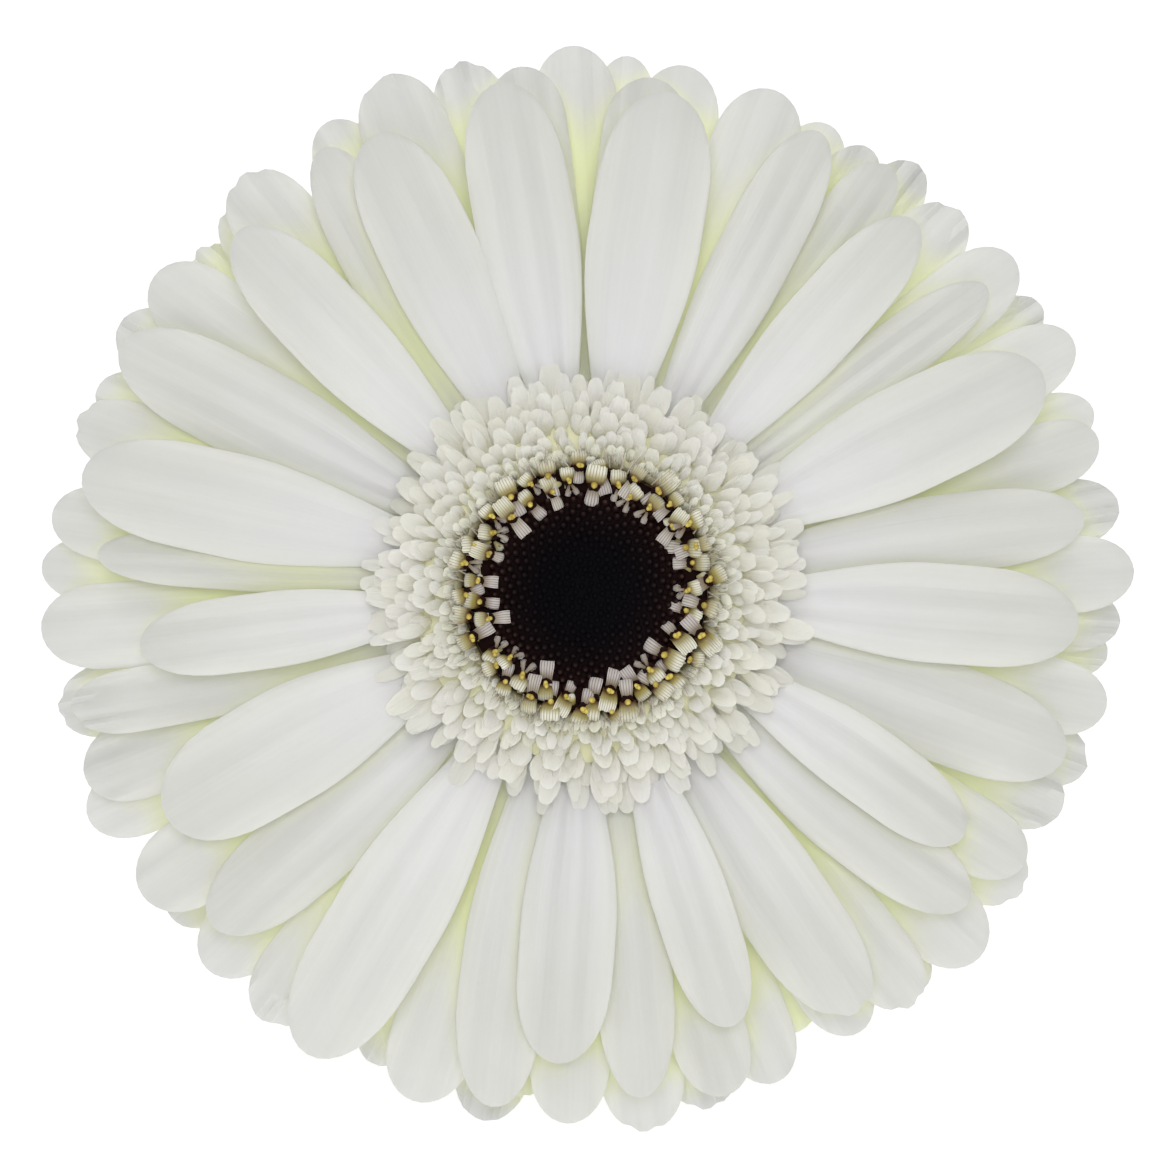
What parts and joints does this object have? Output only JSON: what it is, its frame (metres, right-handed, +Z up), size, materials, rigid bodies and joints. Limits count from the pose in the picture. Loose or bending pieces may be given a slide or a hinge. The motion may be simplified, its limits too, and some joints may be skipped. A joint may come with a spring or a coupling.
{
  "type": "gerbera daisy",
  "caption": "White gerbera daisy with layered strap petals, a fringe of short florets round a dark eye and a short cut stem, lying on its rim and stem end.",
  "frame": {"origin": "on the surface the flower lies on, under the middle of its bounding box", "axes": "+Z up, -Y the way the flower faces, +Y along the stem towards its cut end"},
  "size_m": [0.1095, 0.2009, 0.1057],
  "materials": {
    "ray_petal": "soft white petal, satin",
    "trans_petal": "greenish white petal, satin",
    "disc_floret": "cream floret lip, satin",
    "disc_bud": "near-black maroon bud, satin",
    "bract": "green bract, matt and downy",
    "stem": "green flower stalk, matt and downy"
  },
  "bodies": {
    "root": {"ray_florets": "ray_petal", "trans_florets": "trans_petal", "disc_florets": "disc_floret", "disc_buds": "disc_bud", "involucre": "bract", "stem": "stem"}
  },
  "joints": []
}
